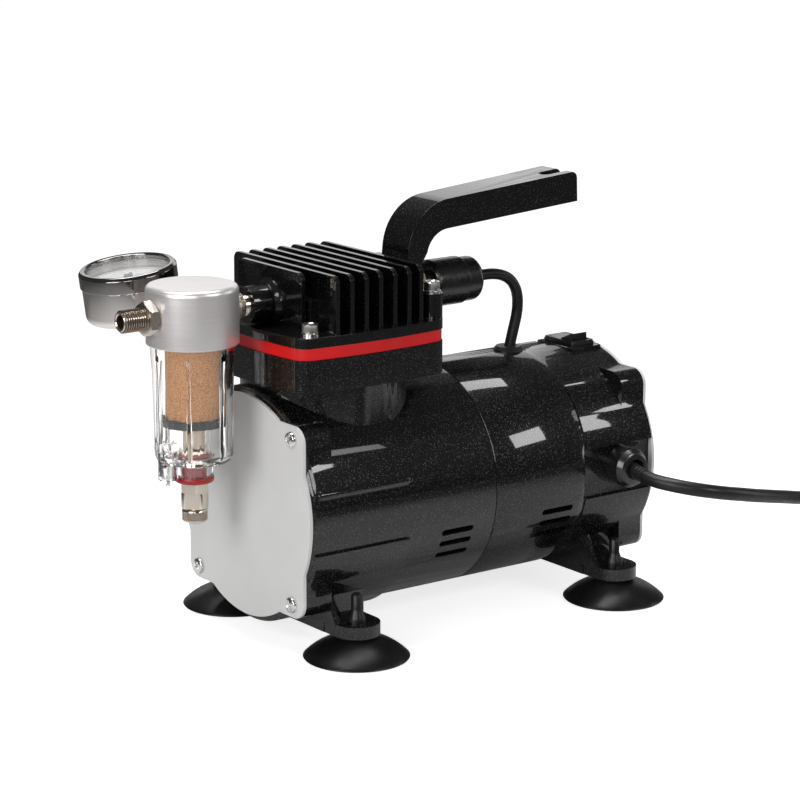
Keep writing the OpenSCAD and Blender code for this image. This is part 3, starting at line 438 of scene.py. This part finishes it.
def fillets(points, steps=4):
    """Rounds each corner (x, y, radius) of an outline."""
    out = []
    for i, (x, y, r) in enumerate(points):
        if r == 0 or i in (0, len(points) - 1):
            out.append((x, y))
            continue
        here = Vector((x, y))
        a = (Vector(points[i - 1][:2]) - here).normalized()
        b = (Vector(points[i + 1][:2]) - here).normalized()
        turn = a.angle(b)
        reach = r / math.tan(turn / 2)
        reach = min(reach, 0.49 * (Vector(points[i - 1][:2]) - here).length,
                    0.49 * (Vector(points[i + 1][:2]) - here).length)
        p, q = here + a * reach, here + b * reach
        for k in range(steps + 1):
            t = k / steps
            out.append(tuple(p * (1 - t) ** 2 + here * 2 * t * (1 - t) + q * t * t))
    return out


def along(axis, origin):
    """A placement that turns +Z to a direction and moves to a point in mm."""
    turn = Vector(axis).normalized().to_track_quat("Z", "Y").to_matrix().to_4x4()
    return Matrix.Translation(mm(*origin)) @ turn


def nut(bm, corner_r, z0, z1, place, bore=0.0, turn=0.0):
    """A hexagon with turned chamfers at both ends; corner_r is the radius to a corner."""
    inner = corner_r * math.cos(math.pi / 6)
    steps, rows = 60, []
    for base, sign in ((z0, 1), (z1, -1)):
        flat, edge = [], []
        for k in range(steps):
            a = math.tau * k / steps
            local = (a % (math.pi / 3)) - math.pi / 6
            r = inner / math.cos(local)
            drop = max(0.0, r - inner * 0.985) * 0.495
            flat.append((inner * 0.985, a, base))
            edge.append((r, a, base + sign * drop))
        rows.append((flat, edge))
    order = [rows[0][0], rows[0][1], rows[1][1], rows[1][0]]
    if bore:
        order = [[(bore, a, z0) for _, a, _ in order[0]]] + order + [[(bore, a, z1) for _, a, _ in order[0]]]
    rings = [[bm.verts.new(mm(r * math.cos(a + turn), r * math.sin(a + turn), z)) for r, a, z in row]
             for row in order]
    pairs = list(zip(rings, rings[1:]))
    if bore:
        pairs.append((rings[-1], rings[0]))
    else:
        bm.faces.new(rings[0])
        bm.faces.new(rings[-1])
    for lo, hi in pairs:
        for k in range(steps):
            j = (k + 1) % steps
            bm.faces.new([lo[k], lo[j], hi[j], hi[k]])
    bmesh.ops.transform(bm, matrix=place, verts=[v for ring in rings for v in ring])


def tube_curve(name, points, radius_mm):
    """A round tube along points in mm, as a curve of one open spline."""
    data = bpy.data.curves.new(name, "CURVE")
    data.dimensions = "3D"
    data.bevel_depth = radius_mm * MM
    data.bevel_resolution = 5
    data.resolution_u = 5
    data.use_fill_caps = True
    spline = data.splines.new("BEZIER")
    spline.bezier_points.add(len(points) - 1)
    for bp, p in zip(spline.bezier_points, points):
        bp.co = mm(*p)
        bp.handle_left_type = bp.handle_right_type = "AUTO"
    obj = bpy.data.objects.new(name, data)
    SCENE.collection.objects.link(obj)
    return obj


# ---- mains cord ----

CORD_ROUTE = [
    (107, -64, 59.3), (107.4, -67.4, 58.9), (108.6, -71.6, 58.4), (110.9, -76.2, 57.9), (114.6, -80.9, 57.1),
    (120, -85, 56), (126.3, -87.6, 54.7), (133, -88.5, 53.2), (143, -87.8, 50.9), (153, -86, 48.4),
    (163, -83.2, 45.9), (173, -79.8, 43.3), (183, -75.6, 40.6), (193, -70.8, 37.7), (203, -65, 34.7),
    (213, -58, 31.3), (223, -50, 27.5), (233, -41, 23.4), (243, -31.6, 19.2), (253, -22, 15.2),
    (263, -12.5, 11.6), (273, -3.5, 8.5), (283, 4.8, 6), (293, 12, 4.3), (303, 18, 3.5), (313, 22.6, 3.2),
    (323, 25.3, 3.2),
]
TAIL_ROUTE = [(322, -59.5, 8.5), (311, -62, 6.5), (301, -66, 6.6), (292, -70, 9), (284.3, -71.9, 11.9)]
COIL_TURNS, COIL_STEPS = 5.5, 18
COIL_TRACKS = ((42.3, 3.2), (36, 3.2), (29.7, 3.2), (29.7, 9.7), (36, 9.7), (42.3, 9.7))


def ease(t):
    t = min(max(t, 0), 1)
    return t * t * (3 - 2 * t)


def coil_points():
    """The wound length: three turns inward on the floor, then two and a half outward on top of them."""
    points = []
    for i in range(int(COIL_TURNS * COIL_STEPS) + 1):
        turns = i / COIL_STEPS
        k = min(int(turns), len(COIL_TRACKS) - 1)
        u = turns - k
        here, after = COIL_TRACKS[k], COIL_TRACKS[min(k + 1, len(COIL_TRACKS) - 1)]
        r = here[0] + (after[0] - here[0]) * ease((u - 0.72) / 0.28)
        z = here[1] + (after[1] - here[1]) * ease((u - 0.78) / 0.22)
        a = math.radians(90) - math.tau * turns
        points.append((COIL[0] + r * math.cos(a), COIL[1] + r * math.sin(a), z))
    return points


def line_length(points):
    return sum((Vector(a) - Vector(b)).length for a, b in zip(points, points[1:]))


def make_cord():
    points = CORD_ROUTE + coil_points() + TAIL_ROUTE
    obj = tube_curve("mains_cord", points, CORD_R)
    finish_piece(obj, ["power_cord", "power_cord_coil"], "cable_rubber")
    return obj, line_length(points) * MM


CORD, CORD_LENGTH = make_cord()


# ---- castings, covers and other pieces that keep their CAD shape ----

EDGES = {
    "front_housing": 0.5, "rear_housing": 0.4, "front_cover": 0.4, "rear_cover": 0.4,
    "cylinder_head": 0.5, "red_ring": 0.35, "carry_handle": 0.9, "pressure_switch": 0.4, "switch_boot": 0.2,
    "power_switch_body": 0.25, "power_switch_rocker": 0.3, "cord_gland": 0.5,
    "filter_bowl": 0.0, "cable_grommet": 0.0,
    "suction_cup_front_left": 0.0, "suction_cup_front_right": 0.0, "suction_cup_rear_left": 0.0,
    "suction_cup_rear_right": 0.0, "plug_body": 0.6, "plug_pins": 0.2, "cord_tie": 0.2,
}
SURFACES = {node: refined(node, width, 4 if width > 0.6 else 3, BEVEL_DEG.get(node, BEVEL_DEG_ELSEWHERE))
            for node, width in EDGES.items()}


def cable_loop():
    """The short cable from the pressure switch down into the housing."""
    route = [
        (55.2, 0, 146.2), (60, 0, 146.6), (65, 0, 146.7), (70, 0, 146.3), (74.8, 0, 145), (78.6, 0, 142.8),
        (81.4, 0, 139.4), (82.9, 0, 135.4), (83.3, 0, 131), (82.8, 0, 126.3), (81.6, 0, 121.6),
        (80.3, 0, 117), (79.2, 0, 112.8), (78.5, 0, 109), (78.2, 0, 105.4),
    ]
    finish_piece(tube_curve("switch_cable_run", route, 2.5), ["switch_cable"])


# ---- screws ----

def pan_head(bm, place, turn):
    """A domed head with a tapered cross recess, on a short length of shank."""
    rings, columns = 30, 96
    grid = []
    for i in range(rings + 1):
        r = PAN_R * i / rings
        row = []
        for k in range(columns if i else 1):
            a = math.tau * k / columns
            x, y = r * math.cos(a - turn), r * math.sin(a - turn)
            z = PAN_TOP - PAN_DROP * (r / PAN_R) ** 2 - 1.1 * max(0.0, (r - 3.0) / 0.6) ** 3
            for along_arm, across in ((abs(x), abs(y)), (abs(y), abs(x))):
                wall = min(ease((0.62 - across) / 0.22), ease((2.15 - along_arm) / 0.5))
                z = min(z, PAN_TOP - PAN_DROP * (r / PAN_R) ** 2 - 1.25 * wall * (1.1 - 0.3 * along_arm))
            row.append(bm.verts.new(mm(r * math.cos(a), r * math.sin(a), z)))
        grid.append(row)
    for r, z in ((PAN_R, 0.02), (2.0, 0.0), (2.0, -9.0)):
        grid.append(circle(bm, r, z, columns))
    for lo, hi in zip(grid, grid[1:]):
        for k in range(columns):
            j = (k + 1) % columns
            corners = list(dict.fromkeys([lo[k % len(lo)], lo[j % len(lo)], hi[j], hi[k]]))
            bm.faces.new(corners)
    bm.faces.new(grid[-1])
    bmesh.ops.transform(bm, matrix=place, verts=[v for row in grid for v in row])


def pan_screws():
    """Eight pan-head screws, each turned to its own angle."""
    bm = bmesh.new()
    for sy in (-1, 1):
        for sz in (-1, 1):
            for x, way in ((-66.5, -1), (125.1, 1)):
                place = along((way, 0, 0), (x, sy * 36, MOTOR_Z + sz * 36))
                pan_head(bm, place, math.radians(31 + 23 * sy + 17 * sz * way))
    finish_piece(add_mesh("cover_pan_screws", bm, 42), ["cover_screws"])


def head_knurl(a, z):
    return -0.10 * (0.5 + 0.5 * math.cos(36 * a)) if 1.3 < z < 4.3 else 0.0


def head_screws():
    """Four socket-head screws with knurled heads, each on a split spring washer."""
    head = [(2, 0.9), (3.4, 0.9), (3.5, 1.1), (3.5, 1.4), (3.5, 4.2), (3.5, 4.5), (3.2, 4.85),
            (2.25, 4.9), (SOCKET_MOUTH_R, 4.7)]
    bm = bmesh.new()
    for sx in (-1, 1):
        for sy in (-1, 1):
            seat = 150.0 if sx > 0 else 139.2
            place = along((0, 0, 1), (-22.3 + 32 * sx, 32 * sy, seat))
            spin(bm, [(0, 121 - seat), (2, 121 - seat), (2, 0.4), (2, 0.9)], 24, place)
            spin(bm, head, 144, place, wobble=head_knurl)
            nut_socket(bm, 1.85, 4.7, 2.7, place)
            split_washer(bm, place)
    finish_piece(add_mesh("head_cap_screws", bm, 40), ["head_screws"])


def nut_socket(bm, corner_r, z_top, z_floor, place):
    """A hexagon socket with a round mouth."""
    n = 48
    inner = corner_r * math.cos(math.pi / 6)
    rows = []
    for z, hexed in ((z_top, False), (z_top - 0.25, True), (z_floor, True)):
        row = []
        for k in range(n):
            a = math.tau * k / n
            r = inner / math.cos((a % (math.pi / 3)) - math.pi / 6) if hexed else SOCKET_MOUTH_R
            row.append(bm.verts.new(mm(r * math.cos(a), r * math.sin(a), z)))
        rows.append(row)
    for lo, hi in zip(rows, rows[1:]):
        for k in range(n):
            j = (k + 1) % n
            bm.faces.new([lo[k], lo[j], hi[j], hi[k]])
    bm.faces.new(rows[-1])
    bmesh.ops.transform(bm, matrix=place, verts=[v for row in rows for v in row])


def split_washer(bm, place):
    """A spring washer with a slanted split."""
    n, rows = 44, []
    for k in range(n + 1):
        t = k / n
        a = math.tau * (0.02 + 0.955 * t)
        row = []
        for r, z in ((2.1, 0.0), (3.9, 0.0), (3.9, 0.88), (2.1, 0.88)):
            lean = (z - 0.44) * 0.12 * (1 if t in (0, 1) else 0)
            row.append(bm.verts.new(mm(r * math.cos(a + lean), r * math.sin(a + lean), z)))
        rows.append(row)
    for lo, hi in zip(rows, rows[1:]):
        for i in range(4):
            j = (i + 1) % 4
            bm.faces.new([lo[i], lo[j], hi[j], hi[i]])
    bm.faces.new(rows[0])
    bm.faces.new(rows[-1])
    bmesh.ops.transform(bm, matrix=place, verts=[v for row in rows for v in row])


# ---- filter, its fittings and drain ----

def threaded(bm, r, z0, z1, pitch, depth, place, bore):
    """A bored rod with V-shaped thread ridges, chamfered at its z0 end."""
    profile = [(bore + 0.4, z0), (r - depth - 0.25, z0), (r - depth, z0 + 0.3)]
    z = z0 + 0.5
    while z + pitch < z1:
        profile += [(r - depth, z), (r, z + pitch * 0.4), (r, z + pitch * 0.55), (r - depth, z + pitch * 0.95)]
        z += pitch
    profile += [(r - depth, z1), (bore, z1), (bore, z0 + 0.4)]
    spin(bm, profile, 64, place, closed=True)


def paint_hollow_shade(obj, origin, axis, radius, low, high):
    """Gives the faces nearer to an axis than radius, between two stations along it in mm, a darker nickel as painted
    shade in the hollows.
    """
    obj.data.materials.append(MAT["hollow_shade_nickel"])
    origin, axis = mm(*origin), Vector(axis)
    for face in obj.data.polygons:
        arm = face.center - origin
        station = arm.dot(axis)
        off = (arm - axis * station).length
        if off < radius * MM and low * MM < station < high * MM:
            face.material_index = 1


def fittings():
    bm = bmesh.new()
    place = along((1, 0, 0), (0, 0, NIPPLE_Z))
    threaded(bm, 4.86, -127.5, -107.5, 1.1, 0.7, place, bore=3.0)
    nut(bm, 7.5, -116.4, -111.9, place, turn=math.radians(30), bore=4.2)
    nipple = finish_piece(add_mesh("outlet_threaded_nipple", bm, 30), ["outlet_nipple"])
    # Painted shade in the nipple's thread roots and bore.
    paint_hollow_shade(nipple, (0, 0, NIPPLE_Z), (1, 0, 0), 4.62, -127.2, -108)
    bm = bmesh.new()
    threaded(bm, 4.6, -78, -56, G18_PITCH, 0.25, place, bore=2.5)
    nut(bm, 6.2, -72, -68.2, place, turn=math.radians(30), bore=4.2)
    finish_piece(add_mesh("inlet_hex_fitting", bm, 30), ["inlet_fitting"])
    bm = bmesh.new()
    place = along((1, 0, 0), (0, 0, SWITCH_Z))
    threaded(bm, 4.6, 4, 35, G18_PITCH, 0.4, place, bore=2.0)
    nut(bm, 7.4, 21.6, 27, place, bore=4.1)
    finish_piece(add_mesh("switch_hex_adaptor", bm, 30), ["switch_adaptor"])


def filter_parts():
    cap = fillets([
        (16.6, 142, 0), (16.6, 135, 0), (19.4, 135, 0.3), (19.7, 135.4, 0.3), (19.7, 160.3, 3.0), (0, 160.3, 0)], 8)
    bm = bmesh.new()
    spin(bm, [(0, 142)] + cap, 160, along((0, 0, 1), (FILTER_X, 0, 0)))
    finish_piece(add_mesh("filter_cap_shell", bm, 40), ["filter_cap"])

    bm = bmesh.new()
    rows, columns = 46, 120
    grid = []
    for i in range(rows + 1):
        z = ELEMENT_LOW + ELEMENT_TALL * i / rows
        ring = []
        for k in range(columns):
            a = math.tau * k / columns
            out = Vector((math.cos(a), math.sin(a), 0))
            p = out * 11.62 + Vector((0, 0, z))
            p += out * 0.16 * noise.noise(p * 1.6)
            ring.append(bm.verts.new(p * MM + mm(FILTER_X, 0, 0)))
        grid.append(ring)
    for lo, hi in zip(grid, grid[1:]):
        for k in range(columns):
            j = (k + 1) % columns
            bm.faces.new([lo[k], lo[j], hi[j], hi[k]])
    for ring, z in ((grid[0], ELEMENT_LOW), (grid[-1], ELEMENT_HIGH)):
        inner = circle(bm, 8, z, columns, FILTER_X)
        for k in range(columns):
            j = (k + 1) % columns
            bm.faces.new([ring[k], ring[j], inner[j], inner[k]])
        if ring is grid[0]:
            low = inner
    for k in range(columns):
        j = (k + 1) % columns
        bm.faces.new([low[k], low[j], inner[j], inner[k]])
    finish_piece(add_mesh("sintered_element", bm, 60), ["filter_element"])


def baffle():
    """Black disc under the element and the pale stem that holds it."""
    at = along((0, 0, 1), (FILTER_X, 0, 0))
    bm = bmesh.new()
    plate = [(4.6, 100.2, 0), (13.5, 100.2, 0.5), (13.5, 103.7, 0.5), (4.6, 103.7, 0)]
    spin(bm, fillets(plate, 4), 96, at, closed=True)
    finish_piece(add_mesh("baffle_plate", bm, 35), ["baffle_disc"])
    bm = bmesh.new()
    stem_outline = [(0, 90, 0), (4.6, 90, 0.6), (4.6, 103.7, 0), (5, 103.7, 0), (5, 143.2, 0), (0, 143.2, 0)]
    spin(bm, fillets(stem_outline, 4), 64, at)
    stem = add_mesh("baffle_stem", bm, 35)
    finish_piece(stem, [], "baffle_plastic", BODY_OF["baffle_disc"], MAT["stem_plastic"])


def seals():
    bm = bmesh.new()
    at = along((0, 0, 1), (FILTER_X, 0, 0))
    outer = fillets([(5.3, 75.1, 0), (8.4, 75.1, 1.0), (8.4, 77.8, 1.0), (5.3, 77.8, 0)], 6)
    spin(bm, outer, 96, at, closed=True)
    upper = fillets([(5.3, 86.3, 0), (7.6, 86.3, 0.7), (7.6, 87.9, 0.7), (5.3, 87.9, 0)], 6)
    spin(bm, upper, 96, at, closed=True)
    spin(bm, [(5.22, 77.8), (5.38, 77.8), (5.38, 82.4), (5.22, 82.4)], 96, at, closed=True)
    finish_piece(add_mesh("bowl_o_rings", bm, 50), ["bowl_seals"])


def drain():
    at = along((0, 0, 1), (FILTER_X, 0, 0))
    bm = bmesh.new()
    nut(bm, 6.5, 70.4, 75.1, at, bore=3.0)
    steps, rows = 96, []
    for z in (63.6, 63.9, 69.9, 70.5):
        row = []
        for k in range(steps):
            a = math.tau * k / steps
            across = abs(math.cos(a - math.radians(45)))
            r = min(5.8 if 63.7 < z < 70 else 5.55, 4.3 / max(across, 1e-3))
            row.append(bm.verts.new(mm(r * math.cos(a), r * math.sin(a), z)))
        rows.append(row)
    for z in (70.5, 63.6):
        rows.append(circle(bm, 2.6, z, steps))
    for lo, hi in list(zip(rows, rows[1:])) + [(rows[-1], rows[0])]:
        for k in range(steps):
            j = (k + 1) % steps
            bm.faces.new([lo[k], lo[j], hi[j], hi[k]])
    bmesh.ops.transform(bm, matrix=at, verts=[v for row in rows for v in row])
    spin(bm, [(2.6, 75), (5.2, 75), (5.2, 87.9), (7, 87.9), (7, 89.5), (2.6, 89.5)], 64, at, closed=True)
    finish_piece(add_mesh("drain_valve_body", bm, 30), ["drain_body"])

    def knurl(a, z):
        if not KNURL_LOW < z < KNURL_HIGH:
            return 0.0
        ridge = abs(math.sin(12 * a + (z - 60) * 2.5)) * abs(math.sin(12 * a - (z - 60) * 2.5))
        return -0.42 + 0.42 * ridge

    bm = bmesh.new()
    wall = [(5.5, 58.5 + 0.1 * i) for i in range(40)]
    foot, stem = [(0, 57.6), (4.7, 57.6), (5.3, 58.0)], [(5.4, 62.7), (5.1, 63.1), (2.55, 63.1), (2.55, 78), (0, 78)]
    spin(bm, foot + wall + stem, 256, at, wobble=knurl)
    knob = finish_piece(add_mesh("knurled_drain_knob", bm, 35), ["drain_knob"])
    # Painted shade in the knurl's hollows.
    paint_hollow_shade(knob, (FILTER_X, 0, 0), (0, 0, 1), 5.32, KNURL_LOW, KNURL_HIGH)


def gauge():
    frame_at = Matrix.Translation(mm(*GAUGE)) @ Matrix.Rotation(-GAUGE_TILT, 4, "Y")
    bm = bmesh.new()
    case = [(0, -8.8, 0), (20.6, -8.8, 4.2), (20.6, 7.2, 0.3), (17.6, 7.2, 0), (17.6, -6.6, 0.5), (0, -6.6, 0)]
    spin(bm, fillets(case, 10), 128, frame_at)
    stem = along((0, 1, 0), (FILTER_X, 0, GAUGE[2]))
    nut(bm, 6.5, 19.9, 28.5, stem, bore=4.0)
    threaded(bm, 4.6, 13.6, 20.4, G18_PITCH, 0.3, stem, bore=2.0)
    finish_piece(add_mesh("gauge_chrome_case", bm, 35), ["gauge_case"])
    bm = bmesh.new()
    ring = fillets([
        (19.5, 7.2, 0), (21.3, 7.2, 0.4), (21.3, 13.0, 0.5), (20.3, 14.5, 0.7), (18.4, 14.2, 0.6), (18.4, 12.6, 0.2),
        (19.5, 12.6, 0)], 6)
    spin(bm, ring, 128, frame_at, closed=True)
    # The bezel takes the darker chrome copy, with its dark reflections painted in.
    finish_piece(add_mesh("gauge_bezel_ring", bm, 40), ["gauge_bezel"], mat=MAT["bezel_chrome_painted_shade"])
    bm = bmesh.new()
    dome = [(0, 12.55), (6, 12.52), (12, 12.4), (19.1, 12.0), (19.1, 11.4), (0, 11.4)]
    spin(bm, dome, 96, frame_at)
    finish_piece(add_mesh("gauge_window", bm, 30), ["gauge_lens"])


def strain_relief():
    """Moulded sleeve with bending ribs, which follows the cord's first slope."""
    place = along((0, -1, 0), (107, 0, 61.5))
    lean = Matrix.Translation(mm(107, -50.6, 61.5)) @ Matrix.Rotation(math.radians(90 + 9), 4, "X")
    bm = bmesh.new()
    spin(bm, [(0, 40), (3.3, 40), (3.3, 51), (0, 51)], 48, place)
    profile = [(0, -0.2), (3.3, -0.2), (3.45, 2.4)]
    for i in range(6):
        z, r = 2.6 + 1.75 * i, 3.45 - 0.035 * i
        profile += [(r, z), (r, z + 0.95), (r - 0.42, z + 1.1), (r - 0.42, z + 1.55)]
    profile += [(3.2, 13.3), (3.2, 13.6), (0, 13.6)]
    spin(bm, profile, 64, lean)
    finish_piece(add_mesh("ribbed_strain_relief", bm, 35), ["strain_relief"])


cable_loop()
strain_relief()
pan_screws()
head_screws()
fittings()
filter_parts()
baffle()
seals()
drain()
gauge()

for node, obj in NODES.items():
    if obj.hide_render:
        continue
    if obj.data.materials:
        obj.data.materials[0] = MAT[SLOT_OF[node]]
    else:
        obj.data.materials.append(MAT[SLOT_OF[node]])


# ---- floor and light ----

def make_floor():
    """A pale floor that stays white to the eye while it throws back a softer grey."""
    bm = bmesh.new()
    bmesh.ops.create_grid(bm, x_segments=1, y_segments=1, size=9)
    floor = add_mesh("floor", bm)
    p = Paint("floor_white", (0.6, 0.6, 0.6), roughness=0.8, Specular_IOR_Level=0.1)
    p.s.inputs["Emission Color"].default_value = (1, 1, 1, 1)
    away = p.node("VectorMath", operation="LENGTH")
    p.link(p.where, away.inputs[0])
    far = p.ramp(p.times(away.outputs["Value"], p.ramp(p.noise(300, 2), 0.0, 1.0, 0.95, 1.05)), 0.24, 0.55)
    p.mix(far, (0.62, 0.62, 0.62), (0.10, 0.10, 0.10))
    rays = p.node("LightPath")
    seen = p.node("Math", operation="MAXIMUM")
    p.link(rays.outputs["Is Camera Ray"], seen.inputs[0])
    p.link(rays.outputs["Is Transmission Ray"], seen.inputs[1])
    p.link(p.times(p.ramp(far, 0.0, 1.0, 0.75, 1.0), seen.outputs["Value"]), p.s.inputs["Emission Strength"])
    floor.data.materials.append(p.m)
    floor.location.z = -0.0004


def soft_light(name, at, toward, size, power):
    """A rectangular lamp at a point in metres, with its size in metres and its power in watts."""
    data = bpy.data.lights.new(name, "AREA")
    data.shape, data.size, data.size_y = "RECTANGLE", size[0], size[1]
    data.energy = power
    obj = bpy.data.objects.new(name, data)
    SCENE.collection.objects.link(obj)
    obj.location = at
    obj.rotation_mode = "QUATERNION"
    obj.rotation_quaternion = (Vector(toward) - Vector(at)).to_track_quat("-Z", "Y")


make_floor()
for lamp in (
    ("top_box", (0.0, 0.25, 1.5), (0.0, 0.0, 0.1), (1.3, 0.7), 24),
    ("left_box", (-1.8, -0.55, 0.8), (0.0, 0.0, 0.1), (1.0, 1.1), 22),
    ("right_box", (0.7, -1.9, 1.2), (0.0, 0.0, 0.1), (0.9, 0.5), 14),
    ("back_box", (0.95, 1.3, 0.62), (0.0, 0.0, 0.15), (1.9, 0.7), 3.6),
    ("front_box", (-1.2, -1.5, 0.75), (0.0, 0.0, 0.1), (0.6, 0.6), 7),
    ("side_strip", (1.9, -0.65, 0.45), (0.0, 0.0, 0.1), (0.6, 1.4), 6),
):
    soft_light(*lamp)

world = bpy.data.worlds.new("studio")
world.use_nodes = True
world.node_tree.nodes["Background"].inputs["Color"].default_value = (1, 1, 1, 1)
world.node_tree.nodes["Background"].inputs["Strength"].default_value = 0.07
SCENE.world = world
